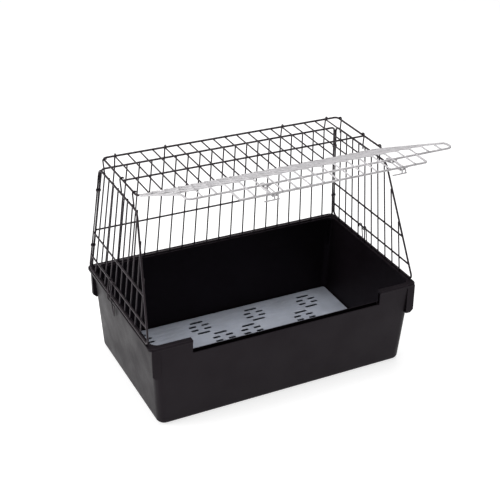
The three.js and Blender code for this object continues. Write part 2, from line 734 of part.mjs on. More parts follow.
// Two rods joined at the top, with feet that turn in to a bar across their ends.
function latch(side) {
  const centre = latchCentre(side);
  const half = LATCH_RODS / 2;
  const foot = TONGUE_EDGE - GUIDE_SETBACK + GUIDE_WIDTH / 2 + LATCH_BEND + LATCH_WIRE / 2 + GAP;
  const top = LIP_EDGE - LATCH_STAND;
  const bow = wire(
    [
      doorPoint(centre - half, foot, -LATCH_REACH),
      doorPoint(centre - half, foot, -ROD_BELOW),
      doorPoint(centre - half, top, -ROD_BELOW),
      doorPoint(centre + half, top, -ROD_BELOW),
      doorPoint(centre + half, foot, -ROD_BELOW),
      doorPoint(centre + half, foot, -LATCH_REACH),
    ],
    LATCH_WIRE,
    { bend: LATCH_BEND },
  );
  const barEnd = centre + half + LATCH_BAR_END;
  const bar = wire(
    [barEnd - LATCH_BAR, barEnd].map((x) => doorPoint(x, foot, -LATCH_REACH)),
    LATCH_WIRE,
  );
  return join([bow, bar]);
}

// A sheet strap over both rods, its ends spot-welded under a door wire.
function latchGuide(side, along) {
  const inner = LATCH_RODS / 2 + LATCH_WIRE / 2 + GAP;
  const outer = inner + GUIDE_SHEET;
  const near = FRAME_WIRE / 2 + GAP; // clear of the door wire
  const far = ROD_BELOW + LATCH_WIRE / 2 + GAP;
  const profile = new THREE.Shape();
  profile.moveTo(-outer - GUIDE_EAR, -near);
  profile.lineTo(-outer - GUIDE_EAR, -near - GUIDE_SHEET);
  profile.lineTo(-outer, -near - GUIDE_SHEET);
  profile.lineTo(-outer, -far - GUIDE_SHEET);
  profile.lineTo(outer, -far - GUIDE_SHEET);
  profile.lineTo(outer, -near - GUIDE_SHEET);
  profile.lineTo(outer + GUIDE_EAR, -near - GUIDE_SHEET);
  profile.lineTo(outer + GUIDE_EAR, -near);
  profile.lineTo(inner, -near);
  profile.lineTo(inner, -far);
  profile.lineTo(-inner, -far);
  profile.lineTo(-inner, -near);
  profile.closePath();
  const geometry = new THREE.ExtrudeGeometry(profile, { depth: GUIDE_WIDTH, bevelEnabled: false });
  geometry.translate(0, 0, -GUIDE_WIDTH / 2);
  const origin = doorPoint(latchCentre(side), along);
  const above = doorPoint(latchCentre(side), along, 1).sub(origin);
  const across = at(1, 0, 0);
  geometry.applyMatrix4(new THREE.Matrix4().makeBasis(across, above, across.clone().cross(above)));
  geometry.translate(origin.x, origin.y, origin.z);
  return solidFrom(geometry);
}

// ---- side clips -----------------------------------------------------------------------------
// A spring wire bail that turns on the lower rail of a side grille and reaches down over the rim.
function sideClip(side) {
  const height = TUB_HEIGHT + SIDE_RAIL_RISES[1];
  const eye = (RAIL_WIRE + CLIP_WIRE) / 2 + 3 * GAP;
  const middle = uprightY(CLIP_CELL, height);
  const out = at(side, 0, 0);
  const up = at(0, 0, 1);
  const rimX = TUB_LENGTH / 2 + CLIP_WIRE / 2 + 2 * GAP;
  const shoulder = TUB_HEIGHT - CLIP_SHOULDER_DROP;
  const wallX = outerLevel(shoulder).half + CLIP_WIRE / 2 + 3 * GAP;
  const leg = (end) => {
    const y = middle + (end * CLIP_SPREAD * sidePitch(height)) / 2;
    return [
      ...hookPoints(sidePoint(side, y, height), out, up, eye, CLIP_EYE_WRAP, 0, 7),
      at(side * rimX, y, TUB_HEIGHT + CLIP_EASE),
      at(side * rimX, y, TUB_HEIGHT - RIM_THICKNESS - CLIP_TUCK),
      at(side * (wallX + 3 * GAP), y, shoulder),
    ];
  };
  const nose = at(side * wallX, middle, TUB_HEIGHT - CLIP_NOSE_DROP);
  return wire([...leg(1), nose, ...leg(-1).reverse()], CLIP_WIRE, {
    bend: CLIP_BEND,
    square: true,
    steps: 1,
  });
}

// ---- the crate ------------------------------------------------------------------------------
const crate = new THREE.Group();

function add(group, name, solid, material) {
  group.add(meshFrom(solid, name, material));
}

add(crate, "tub", tub(), tubPlastic());
add(crate, "floor_grid", floorGrid(), gridPlastic());

const cage = new THREE.Group();
crate.add(cage);
add(cage, "roof_grille", roofGrille(), blackWire());
add(cage, "back_grille", backGrille(), blackWire());
for (const [name, side] of [["right", 1], ["left", -1]]) {
  add(cage, `side_grille_${name}`, sideGrille(side), blackWire());
  add(cage, `side_clip_${name}`, sideClip(side), blackWire());
  TIE_RISES.forEach((rise, index) => {
    const place = ["lower", "upper"][index];
    add(cage, `corner_tie_${name}_${place}`, cornerTie(side, TUB_HEIGHT + rise), blackWire());
  });
}

const door = new THREE.Group();
crate.add(door);
add(door, "door_grille", doorGrille(), silverWire());
HINGE_CLIP_CELLS.forEach((cell, index) =>
  add(door, `door_hinge_clip_${index + 1}`, hingeClip(cell), springSteel()),
);
const GUIDE_PLACES = { upper: LIP_EDGE, lower: TONGUE_EDGE - GUIDE_SETBACK };
for (const side of Object.keys(LATCH_CELLS)) {
  add(door, `latch_${side}`, latch(side), silverWire());
  for (const [place, along] of Object.entries(GUIDE_PLACES))
    add(door, `latch_guide_${side}_${place}`, latchGuide(side, along), springSteel());
}

const extent = new THREE.Box3().setFromObject(crate, true);
crate.position.y = -(extent.min.y + extent.max.y) / 2;

export default crate;
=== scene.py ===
"""Dog travel crate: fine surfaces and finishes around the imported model.

Lengths inside the functions are millimetres measured from the middle of the tub's underside,
+X along the crate, +Y to the back, +Z up. at() turns them into the frame's metres.
"""

import math

import bmesh
import bpy
from mathutils import Matrix, Vector
from mathutils.geometry import interpolate_bezier


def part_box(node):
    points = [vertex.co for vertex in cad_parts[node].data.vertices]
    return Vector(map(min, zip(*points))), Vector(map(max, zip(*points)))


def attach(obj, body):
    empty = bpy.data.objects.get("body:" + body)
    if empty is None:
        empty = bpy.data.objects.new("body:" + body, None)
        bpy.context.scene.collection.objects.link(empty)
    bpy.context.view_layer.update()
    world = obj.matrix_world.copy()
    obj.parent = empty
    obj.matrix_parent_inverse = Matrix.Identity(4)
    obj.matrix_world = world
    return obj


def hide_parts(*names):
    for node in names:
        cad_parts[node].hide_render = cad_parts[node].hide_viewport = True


bl_info = {
    "name": "Dog Travel Crate",
    "version": (1, 0, 0),
    "blender": (4, 5, 0),
    "location": "View3D > Sidebar > Crate",
    "description": "Builds the fine wire, mouldings and finishes of a dog travel crate",
    "category": "Object",
}

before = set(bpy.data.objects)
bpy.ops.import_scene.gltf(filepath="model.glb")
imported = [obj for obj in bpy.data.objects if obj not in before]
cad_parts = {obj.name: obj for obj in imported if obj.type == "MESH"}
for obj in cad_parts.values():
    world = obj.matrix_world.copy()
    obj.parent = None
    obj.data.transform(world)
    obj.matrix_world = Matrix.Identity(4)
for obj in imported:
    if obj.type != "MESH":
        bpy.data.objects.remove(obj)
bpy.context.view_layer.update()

MM = 0.001
TUB_LOW, TUB_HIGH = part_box("tub")
TUB_MIDDLE_Y = (TUB_LOW.y + TUB_HIGH.y) / 2
RIM_HALF = (TUB_HIGH.x - TUB_LOW.x) / 2 / MM
RIM_DEPTH = (TUB_HIGH.y - TUB_LOW.y) / 2 / MM
RIM_TOP = TUB_HIGH.z / MM
SIDES = (("right", 1), ("left", -1))

# Tub
WALL = 4
SIDE_OVERHANG = 10
FRONT_OVERHANG = 1
REAR_OVERHANG = 18
END_DRAFT = 17
FRONT_DRAFT = 18
REAR_DRAFT = 3
BODY_CORNER = 24
LEAST_CORNER = 2
BASE_ROUND = 12
RIM_CORNER = 18
RIM_THICKNESS = 8
RIM_FRONT = 19
RIM_REAR = 27
RIM_SIDE = 15
RIM_EDGE = 1.8
SKIRT = 3
SKIRT_INSET = 0.05
SKIRT_BELOW_TOP = 1
RECESS_HALF = 288
RECESS_DEPTH = 43
TROUGH_DEPTH = 14
TROUGH_BACK = 22.5
TROUGH_WALL = 3
CUT_PAST = 10  # how far a cutting block runs past what it cuts
JOIN = 1  # how far the groove's ends run into its inner side
EAR_HEIGHT = 90
EAR_REACH = 6
EAR_THICKNESS = 12
EAR_LENGTH = 24
EAR_CHAMFER = 9
CORNER_STEPS = 9

# Floor grid
GRID_ROW_PITCH = 20.5
CLUSTER_PITCH = 80.5
OUTER_CLUSTERS = (-279, -93, 93, 279)
INNER_CLUSTERS = (-230, -47, 47, 230)
SLOT_SHORT = 24
SLOT_LONG = 42
SLOT_GAP = 18
SLOT_CORNER = 0.42  # share of the slot's width
GRID_CORNER = 8
GRID_EDGE = 0.6
GRID_FLAT = 1.0  # half of the thickness between the rounded edges
RUNNER_INSET = 14
RUNNER_HALF = 1.4
RUNNER_DROP = 2.5

# Wire
BEND_SHARE = 0.45  # most of a straight run that one bend may take
BEND_PULL = 0.6  # how near a bend comes to its corner
DOME_STEPS = (0.3, 0.6, 0.87)
DOME_RISE = 0.6
WELD = 1.75  # how far two crossed wires sink into each other
WELD_SINK = 0.3
MESH_OVERRUN = 1  # how far a mesh wire runs past the wire it is welded to
GAP = 0.35

# Cage
CELLS = 20
FRAME_RADIUS = 2.9
MODEL_FRAME_RADIUS = 2.75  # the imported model's border wire; the shown one is thicker
RAIL_RADIUS = 2.65
MESH_RADIUS = 2.1
MESH_OFFSET = FRAME_RADIUS + MESH_RADIUS - WELD
SEAT = RIM_TOP + GAP + MODEL_FRAME_RADIUS
ROOF_HEIGHT = 624
ROOF_REAR = 173.5
ROOF_FRONT = -85.5
ROOF_MIDDLE = 16
ROOF_HALF = 367
ROOF_CORNER = 12
BACK_TOP = 585
BACK_TOP_Y = 188.5
BACK_FOOT_INSET = 20
BACK_FOOT_Y = RIM_DEPTH - BACK_FOOT_INSET
BACK_RAIL = 389
PANEL_CORNER = 10
SIDE_TOP = 587
SIDE_TOP_X = 373.5
SIDE_FOOT_INSET = 4.5
SIDE_FOOT_X = RIM_HALF - SIDE_FOOT_INSET
SIDE_LEG_GAP = 6
SIDE_FRONT_TOP = -99
SIDE_FRONT_FOOT = -230
SIDE_RAILS = (383.6, 306.8)
SIDE_PITCH_TOP = 35.3
SIDE_PITCH_FOOT = 39.5
SIDE_WIRES = 10
SIDE_CORNER = 18
BACK_HOOK_WIRES = (-9, -5, 5, 9)
SIDE_HOOKS = (157, 24, -68)
HOOK_RADIUS = FRAME_RADIUS + MESH_RADIUS + GAP
HOOK_END = math.radians(150)
HOOK_STEPS = 9
HOOK_BELOW = 7
HOOK_ABOVE = 3
CROSS_WELD_INSET = 0.5

# Door
DOOR_HALF = 365
DOOR_TOP = 8.4
DOOR_BEND = 322
LIP = 32
TONGUE = 50
LIP_EDGE = DOOR_BEND + LIP
TONGUE_EDGE = LIP_EDGE + TONGUE
DOOR_RAILS = (112, 218)
DOOR_OPEN = math.radians(24.3)
LIP_BEND = math.radians(24.3)
DOOR_CORNER = 16
DOOR_PITCH = 2 * DOOR_HALF / CELLS
TONGUE_CELLS = 3  # cells of the door to each side of the tongue
TONGUE_HALF = DOOR_HALF - TONGUE_CELLS * DOOR_PITCH
BAR_BEND = 5

# Latches and clips
LATCH_CENTRES = {"right": 184, "left": -165}
LATCH_RODS = 10
LATCH_BAR = 39
LATCH_BAR_END = 3
LATCH_REACH = 14
LATCH_STAND = 20
LATCH_BEND = 3
LATCH_RADIUS = 1.8
LATCH_CORNER = 4
LATCH_CLEAR = 1
LATCH_FOOT = TONGUE_EDGE + LATCH_CLEAR + LATCH_BEND + LATCH_RADIUS + GAP
ROD_BELOW = FRAME_RADIUS + LATCH_RADIUS + GAP
CLIP_RADIUS = 1.6
CLIP_CELL = 4.5
CLIP_SPREAD = 26
CLIP_NOSE = 196
CLIP_SHOULDER = 236
CLIP_CORNER = 4
CLIP_EYE_TURN = math.pi * 1.35
CLIP_EYE_STEPS = 12
CLIP_ABOVE_RIM = 4
CLIP_BELOW_RIM = 2
CLIP_SHOULDER_OUT = 2
CLIP_NOSE_OUT = 1

# Stage: place, target and size of each light in metres, the camera's place in millimetres
FLOOR_HALF = 16
FLOOR_DROP = 0.0005
KEY_LIGHT = ((-3.2, 0.9, 2.2), (0, 0.1, 0.2), 2.4)
TOP_LIGHT = ((0.4, 0.6, 4.4), (0, 0.1, 0), 3.4)
TOP_SHARE = 2.1  # power of the top light against the key light
CAMERA_PLACE = (-1260.0, -2571.5, 1899.0)
CAMERA_TURN = (28.9, 28.5, 1.9)  # azimuth, elevation and roll in degrees
SENSOR_WIDTH = 36
LENS = 82.03
LENS_SHIFT = -0.1


# ---- sizes and colours that a user would change ---------------------------------------------
def colour(name, description, default):
    return bpy.props.FloatVectorProperty(
        name=name, description=description, default=default, subtype="COLOR", size=3, min=0, max=1
    )


class CrateColours(bpy.types.PropertyGroup):
    tub: colour("Tub", "Charcoal of the moulded tub", (0.0046, 0.003, 0.0042))
    grid: colour("Floor grid", "Grey of the lift-out floor", (0.34, 0.365, 0.43))
    cage: colour("Cage", "Dark enamel of the cage wire", (0.024, 0.018, 0.022))
    door: colour("Door", "Silver enamel of the door wire", (0.56, 0.545, 0.56))
    fittings: colour("Fittings", "Zinc of the hinge clips and latch guides", (0.7, 0.69, 0.7))


class CrateWire(bpy.types.PropertyGroup):
    sides: bpy.props.IntProperty(
        name="Wire sides", description="Faces round each wire", default=12, min=6, max=32
    )
    weld: bpy.props.FloatProperty(
        name="Weld size",
        description="Radius of the weld where two wires cross",
        default=0.0022,
        unit="LENGTH",
    )
    bend_steps: bpy.props.IntProperty(
        name="Bend steps", description="Sections in each bend", default=7, min=2, max=24
    )


class CrateMoulding(bpy.types.PropertyGroup):
    edge: bpy.props.FloatProperty(
        name="Edge radius",
        description="Rounding of the tub's moulded edges",
        default=0.0011,
        unit="LENGTH",
    )
    slot_width: bpy.props.FloatProperty(
        name="Slot width",
        description="Width of the slots in the floor grid",
        default=0.009,
        unit="LENGTH",
    )


class CrateStudio(bpy.types.PropertyGroup):
    key: bpy.props.FloatProperty(
        name="Key light", description="Power of the large soft light", default=72, unit="POWER"
    )
    fill: bpy.props.FloatProperty(
        name="Surround", description="Strength of the even light all round", default=0.17
    )
    floor: colour("Floor", "Pale floor", (0.5, 0.5, 0.5))
    glow: bpy.props.FloatProperty(
        name="Floor glow", description="Light that the floor sheet gives off", default=0.76
    )


# ---- points ---------------------------------------------------------------------------------
def at(x, y, z):
    """A point in the frame, from millimetres about the middle of the tub's underside."""
    return Vector((x * MM, y * MM + TUB_MIDDLE_Y, z * MM))


def lerp(a, b, share):
    return a + (b - a) * share


def back_share(z):
    return (BACK_TOP - z) / (BACK_TOP - SEAT)


def side_share(z):
    return (SIDE_TOP - z) / (SIDE_TOP - SEAT)


def back_y(z):
    return lerp(BACK_TOP_Y, BACK_FOOT_Y, back_share(z))


def side_x(z):
    return lerp(SIDE_TOP_X, SIDE_FOOT_X, side_share(z))


def back_half(z):
    return side_x(z) - SIDE_LEG_GAP


def side_front_y(z):
    return lerp(SIDE_FRONT_TOP, SIDE_FRONT_FOOT, side_share(z))


def upright_y(k, z):
    return back_y(z) - k * lerp(SIDE_PITCH_TOP, SIDE_PITCH_FOOT, side_share(z))


def side_point(side, y, z, inside=0.0):
    return at(side * (side_x(z) - inside), y, z)


def door_point(x, along, above=0.0):
    """A point of the door: across it, along it from the hinge wire, above its outer face."""
    lip = DOOR_OPEN - LIP_BEND
    main = min(along, DOOR_BEND)
    rest = along - main
    angle = lip if rest > 0 else DOOR_OPEN
    y = ROOF_FRONT - main * math.cos(DOOR_OPEN) - rest * math.cos(lip) + above * math.sin(angle)
    z = ROOF_HEIGHT + main * math.sin(DOOR_OPEN) + rest * math.sin(lip) + above * math.cos(angle)
    return at(x, y, z)


def arc_points(centre, out, up, radius, start, end, turns):
    """Points round a bend: millimetre radius, angles from out towards up."""
    angles = [lerp(start, end, i / turns) for i in range(turns + 1)]
    return [centre + (out * math.cos(a) + up * math.sin(a)) * radius * MM for a in angles]


# ---- wire -----------------------------------------------------------------------------------
def round_corners(points, radius, closed=False):
    """The points with each corner swapped for a smooth bend of about that radius."""
    steps = bpy.context.scene.crate_wire.bend_steps
    count = len(points)
    path = [] if closed else [points[0]]
    for i in range(0 if closed else 1, count if closed else count - 1):
        here = points[i]
        before = points[i - 1] - here
        after = points[(i + 1) % count] - here
        reach = min(radius * MM, before.length * BEND_SHARE, after.length * BEND_SHARE)
        start = here + before.normalized() * reach
        end = here + after.normalized() * reach
        path += interpolate_bezier(
            start, start.lerp(here, BEND_PULL), end.lerp(here, BEND_PULL), end, steps + 1
        )
    return path if closed else path + [points[-1]]


def sweep(bm, points, radius, closed=False):
    """Adds a round wire along the points to bm, its ends domed."""
    sides = bpy.context.scene.crate_wire.sides
    count = len(points)
    tangents = []
    for i, point in enumerate(points):
        before = points[i - 1] if closed or i else point
        after = points[(i + 1) % count] if closed or i < count - 1 else point
        into = (point - before).normalized() if before != point else Vector()
        out = (after - point).normalized() if after != point else Vector()
        tangents.append((into + out).normalized())
    normal = tangents[0].orthogonal().normalized()
    rings = []

    def ring(centre, scale, tangent):
        across = tangent.cross(normal)
        made = []
        for i in range(sides):
            angle = 2 * math.pi * i / sides
            spoke = normal * math.cos(angle) + across * math.sin(angle)
            made.append(bm.verts.new(centre + spoke * radius * MM * scale))
        rings.append(made)

    def dome(centre, tangent, outward):
        for share in DOME_STEPS if outward > 0 else DOME_STEPS[::-1]:
            rise = share * radius * MM * DOME_RISE
            ring(centre + tangent * rise * outward, math.sqrt(1 - share * share), tangent)

    if not closed:
        dome(points[0], tangents[0], -1)
    for point, tangent in zip(points, tangents):
        normal = (normal - tangent * normal.dot(tangent)).normalized()
        ring(point, 1, tangent)
    if not closed:
        dome(points[-1], tangents[-1], 1)
    for low, high in zip(rings, rings[1:]):
        for i in range(sides):
            j = (i + 1) % sides
            bm.faces.new((low[i], low[j], high[j], high[i]))
    if closed:
        turn = closing_turn(rings[-1], rings[0])
        for i in range(sides):
            j = (i + 1) % sides
            k, m = (i + turn) % sides, (j + turn) % sides
            bm.faces.new((rings[-1][i], rings[-1][j], rings[0][m], rings[0][k]))
    else:
        bm.faces.new(rings[0][::-1])
        bm.faces.new(rings[-1])


def closing_turn(last, first):
    """How many places the first ring is turned on from the last one."""
    lengths = [(last[0].co - vert.co).length for vert in first]
    return lengths.index(min(lengths))


def weld(bm, place):
    """Adds a small rounded weld to bm."""
    radius = bpy.context.scene.crate_wire.weld
    bmesh.ops.create_icosphere(
        bm, subdivisions=1, radius=radius, matrix=Matrix.Translation(place)
    )


def butt_weld(bm, start, end, radius):
    """Adds the swollen joint where a border's ends meet."""
    middle = start.lerp(end, 0.5)
    along = (end - start).normalized() * MM
    shares = ((-4, 0.9), (-2.2, 1.12), (0, 1.2), (2.2, 1.12), (4, 0.9))
    for (low, low_size), (high, high_size) in zip(shares, shares[1:]):
        size = radius * (low_size + high_size) / 2
        sweep(bm, [middle + along * low, middle + along * high], size)


def solid_object(name, bm):
    """A new object in the scene with the shape in bm."""
    bmesh.ops.recalc_face_normals(bm, faces=bm.faces)
    mesh = bpy.data.meshes.new(name)
    bm.to_mesh(mesh)
    bm.free()
    made = bpy.data.objects.new(name, mesh)
    bpy.context.scene.collection.objects.link(made)
    return made


def finish_piece(name, bm, material, body, replaced, smooth=40):
    """Makes a shown piece from bm, gives it its finish and sets it on its body."""
    piece = solid_object(name, bm)
    piece.data.shade_smooth()
    piece.data.set_sharp_from_angle(angle=math.radians(smooth))
    piece.data.materials.append(material)
    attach(piece, body)
    if replaced:
        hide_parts(*replaced)
    return piece


# ---- finishes -------------------------------------------------------------------------------
def group(name, inputs, outputs):
    """An empty shader group with its sockets, its input node and its output node."""
    tree = bpy.data.node_groups.new(name, "ShaderNodeTree")
    for label, default in inputs.items():
        socket = tree.interface.new_socket(label, in_out="INPUT", socket_type="NodeSocketFloat")
        socket.default_value = default
    for label, kind in outputs.items():
        tree.interface.new_socket(label, in_out="OUTPUT", socket_type=kind)
    return tree, tree.nodes.new("NodeGroupInput"), tree.nodes.new("NodeGroupOutput")


def add(tree, kind, **values):
    """A node with its settings and plain input values."""
    node = tree.nodes.new(kind)
    for key, value in values.items():
        if key.startswith("in_"):
            node.inputs[key[3:].replace("_", " ")].default_value = value
        else:
            setattr(node, key, value)
    return node


def number(tree, operation, first, second):
    """A math node over two sockets or numbers; gives its result."""
    node = add(tree, "ShaderNodeMath", operation=operation)
    for socket, value in zip(node.inputs, (first, second)):
        if isinstance(value, bpy.types.NodeSocket):
            tree.links.new(value, socket)
        else:
            socket.default_value = value
    return node.outputs[0]


def noise(tree, scale, detail=4.0, roughness=0.55, distortion=0.0):
    """Solid noise over the piece's own coordinates."""
    where = add(tree, "ShaderNodeTexCoord")
    node = add(
        tree,
        "ShaderNodeTexNoise",
        in_Detail=detail,
        in_Roughness=roughness,
        in_Distortion=distortion,
    )
    tree.links.new(where.outputs["Object"], node.inputs["Vector"])
    if isinstance(scale, bpy.types.NodeSocket):
        tree.links.new(scale, node.inputs["Scale"])
    else:
        node.inputs["Scale"].default_value = scale
    return node.outputs["Fac"]


def spread(tree, value, low, high):
    """Stretches a value so that low becomes 0 and high becomes 1."""
    node = add(tree, "ShaderNodeMapRange", in_From_Min=low, in_From_Max=high)
    tree.links.new(value, node.inputs["Value"])
    return node.outputs["Result"]


def grain_group():
    """Fine moulded or sprayed grain: a height and a slow mottle."""
    tree, given, out = group(
        "Surface grain",
        {"Grain scale": 900.0, "Mottle scale": 14.0},
        {"Height": "NodeSocketFloat", "Mottle": "NodeSocketFloat"},
    )
    fine = noise(tree, given.outputs["Grain scale"], detail=3)
    slow = noise(tree, given.outputs["Mottle scale"], detail=5, roughness=0.6)
    tree.links.new(fine, out.inputs["Height"])
    tree.links.new(spread(tree, slow, 0.35, 0.65), out.inputs["Mottle"])
    return tree


def scuff_group():
    """Sparse rubbed patches and short scratches."""
    tree, given, out = group(
        "Scuffs", {"Scale": 60.0, "Amount": 0.5}, {"Mask": "NodeSocketFloat"}
    )
    patches = spread(tree, noise(tree, given.outputs["Scale"], 6, 0.7, 0.6), 0.56, 0.72)
    where = add(tree, "ShaderNodeTexCoord")
    stretch = add(tree, "ShaderNodeMapping")
    stretch.inputs["Scale"].default_value = (1.0, 6.0, 14.0)
    stretch.inputs["Rotation"].default_value = (0.3, 0.2, 0.5)
    tree.links.new(where.outputs["Object"], stretch.inputs["Vector"])
    lines = add(tree, "ShaderNodeTexNoise", in_Scale=22.0, in_Detail=6.0, in_Roughness=0.75)
    tree.links.new(stretch.outputs["Vector"], lines.inputs["Vector"])
    scratches = spread(tree, lines.outputs["Fac"], 0.63, 0.68)
    both = number(tree, "MAXIMUM", patches, scratches)
    tree.links.new(number(tree, "MULTIPLY", both, given.outputs["Amount"]), out.inputs["Mask"])
    return tree


def dust_group():
    """Fine dust that lies where a surface looks up."""
    tree, given, out = group("Dust", {"Amount": 0.4}, {"Mask": "NodeSocketFloat"})
    shape = add(tree, "ShaderNodeNewGeometry")
    parts = add(tree, "ShaderNodeSeparateXYZ")
    tree.links.new(shape.outputs["Normal"], parts.inputs[0])
    up = spread(tree, parts.outputs["Z"], 0.3, 1.0)
    uneven = spread(tree, noise(tree, 35.0, 5, 0.65), 0.3, 0.7)
    laid = number(tree, "MULTIPLY", up, uneven)
    tree.links.new(number(tree, "MULTIPLY", laid, given.outputs["Amount"]), out.inputs["Mask"])
    return tree


GROUP_MAKERS = {"grain": grain_group, "scuff": scuff_group, "dust": dust_group}
GROUPS = {}


def shared(tree, key, **values):
    """One of the shared groups, placed in a material with its own values."""
    if key not in GROUPS:
        GROUPS[key] = GROUP_MAKERS[key]()
    node = tree.nodes.new("ShaderNodeGroup")
    node.node_tree = GROUPS[key]
    for label, value in values.items():
        node.inputs[label.replace("_", " ")].default_value = value
    return node


def tinted(tree, base, other, share):
    """A colour between two, by a mask; either may be a colour or a socket."""
    node = add(tree, "ShaderNodeMix", data_type="RGBA")
    tree.links.new(share, node.inputs["Factor"])
    for socket, value in zip((node.inputs[6], node.inputs[7]), (base, other)):
        if isinstance(value, bpy.types.NodeSocket):
            tree.links.new(value, socket)
        else:
            socket.default_value = (*value, 1)
    return node.outputs[2]


def scaled(value, factor):
    return tuple(min(1.0, part * factor) for part in value)


MATERIALS = {}


def surface(name, base, look):
    """A finished surface: mottled base colour, rubbed patches, dust, grain and roughness."""
    if name in MATERIALS:
        return MATERIALS[name]
    made = bpy.data.materials.new(name)
    made.use_nodes = True
    tree = made.node_tree
    shader = tree.nodes["Principled BSDF"]
    grain = shared(tree, "grain", Grain_scale=look["grain"], Mottle_scale=look["mottle"])
    scuff = shared(tree, "scuff", Scale=look["scuff_scale"], Amount=look["scuff"])
    dust = shared(tree, "dust", Amount=look["dust"])
    dark, light = scaled(base, 1 - look["variation"]), scaled(base, 1 + look["variation"])
    colours = tinted(tree, dark, light, grain.outputs["Mottle"])
    colours = tinted(tree, colours, look["rubbed"], scuff.outputs["Mask"])
    colours = tinted(tree, colours, look["dusty"], dust.outputs["Mask"])
    tree.links.new(colours, shader.inputs["Base Color"])
    low, high = look["roughness"]
    rough = add(tree, "ShaderNodeMapRange", in_To_Min=low, in_To_Max=high)
    tree.links.new(grain.outputs["Mottle"], rough.inputs["Value"])
    worn = number(tree, "MULTIPLY", scuff.outputs["Mask"], look["rub_rough"])
    tree.links.new(number(tree, "ADD", rough.outputs["Result"], worn), shader.inputs["Roughness"])
    shader.inputs["Metallic"].default_value = look["metallic"]
    shader.inputs["Specular IOR Level"].default_value = look["specular"]
    shader.inputs["Specular Tint"].default_value = (*look["tint"], 1)
    shader.inputs["Coat Weight"].default_value = look["coat"]
    shader.inputs["Coat Roughness"].default_value = look["coat_rough"]
    bump = add(tree, "ShaderNodeBump", in_Strength=look["bump"], in_Distance=look["depth"])
    tree.links.new(grain.outputs["Height"], bump.inputs["Height"])
    tree.links.new(bump.outputs["Normal"], shader.inputs["Normal"])
    MATERIALS[name] = made
    return made


def tub_plastic():
    look = dict(
        grain=1400.0, mottle=9.0, scuff_scale=11.0, scuff=0.09, dust=0.08, variation=0.08,
        rubbed=(0.018, 0.015, 0.017), dusty=(0.034, 0.028, 0.033), roughness=(0.42, 0.56),
        rub_rough=0.25, metallic=0.0, coat=0.0, coat_rough=0.3, bump=0.3, depth=0.0003,
        specular=0.15, tint=(1.0, 0.84, 1.0),
    )
    return surface("tub_plastic", tuple(bpy.context.scene.crate_colours.tub), look)


def grid_plastic():
    look = dict(
        grain=1100.0, mottle=12.0, scuff_scale=16.0, scuff=0.3, dust=0.15, variation=0.1,
        rubbed=(0.46, 0.48, 0.51), dusty=(0.5, 0.5, 0.5), roughness=(0.38, 0.55),
        rub_rough=0.2, metallic=0.0, coat=0.0, coat_rough=0.3, bump=0.25, depth=0.0003,
        specular=0.4, tint=(1.0, 1.0, 1.0),
    )
    return surface("grid_plastic", tuple(bpy.context.scene.crate_colours.grid), look)


def cage_enamel():
    look = dict(
        grain=420.0, mottle=30.0, scuff_scale=90.0, scuff=0.35, dust=0.12, variation=0.25,
        rubbed=(0.07, 0.065, 0.068), dusty=(0.1, 0.095, 0.09), roughness=(0.3, 0.46),
        rub_rough=0.2, metallic=0.1, coat=0.1, coat_rough=0.25, bump=0.4, depth=0.0005,
        specular=0.3, tint=(1.0, 0.92, 0.98),
    )
    return surface("cage_enamel", tuple(bpy.context.scene.crate_colours.cage), look)


def door_enamel():
    look = dict(
        grain=420.0, mottle=26.0, scuff_scale=80.0, scuff=0.3, dust=0.05, variation=0.1,
        rubbed=(0.46, 0.45, 0.45), dusty=(0.55, 0.53, 0.52), roughness=(0.34, 0.5),
        rub_rough=0.15, metallic=0.15, coat=0.1, coat_rough=0.25, bump=0.3, depth=0.0004,
        specular=0.5, tint=(1.0, 1.0, 1.0),
    )
    return surface("door_enamel", tuple(bpy.context.scene.crate_colours.door), look)


def zinc():
    look = dict(
        grain=700.0, mottle=60.0, scuff_scale=120.0, scuff=0.4, dust=0.08, variation=0.18,
        rubbed=(0.5, 0.5, 0.5), dusty=(0.6, 0.59, 0.58), roughness=(0.26, 0.42),
        rub_rough=0.2, metallic=0.4, coat=0.0, coat_rough=0.2, bump=0.2, depth=0.0002,
        specular=0.5, tint=(1.0, 1.0, 1.0),
    )
    return surface("zinc_plate", tuple(bpy.context.scene.crate_colours.fittings), look)


# ---- tub ------------------------------------------------------------------------------------
def outline(half, front, rear, radius, z):
    """One ring of a rounded rectangle, anticlockwise seen from above."""
    corners = (
        (half - radius, front + radius, -90),
        (half - radius, rear - radius, 0),
        (-half + radius, rear - radius, 90),
        (-half + radius, front + radius, 180),
    )
    points = []
    for x, y, start in corners:
        for i in range(CORNER_STEPS + 1):
            angle = math.radians(start + 90 * i / CORNER_STEPS)
            points.append(at(x + radius * math.cos(angle), y + radius * math.sin(angle), z))
    return points


def outer_ring(z, inset=0.0):
    drop = 1 - z / RIM_TOP
    return outline(
        RIM_HALF - SIDE_OVERHANG - END_DRAFT * drop - inset,
        -RIM_DEPTH + FRONT_OVERHANG + FRONT_DRAFT * drop + inset,
        RIM_DEPTH - REAR_OVERHANG - REAR_DRAFT * drop - inset,
        max(BODY_CORNER - inset, LEAST_CORNER),
        z,
    )


def rim_ring(z, inset):
    depth = RIM_DEPTH - inset
    return outline(RIM_HALF - inset, -depth, depth, RIM_CORNER - inset, z)


def mouth_ring(z, grow):
    return outline(
        RIM_HALF - RIM_SIDE + grow,
        -RIM_DEPTH + RIM_FRONT - grow,
        RIM_DEPTH - RIM_REAR + grow,
        BODY_CORNER - WALL + grow,
        z,
    )


def quarter(radius, steps=4):
    """Inset and rise along a rounded edge, from the flat to the upright."""
    angles = [math.pi / 2 * i / steps for i in range(steps + 1)]
    return [(radius * (1 - math.sin(a)), radius * (1 - math.cos(a))) for a in angles]


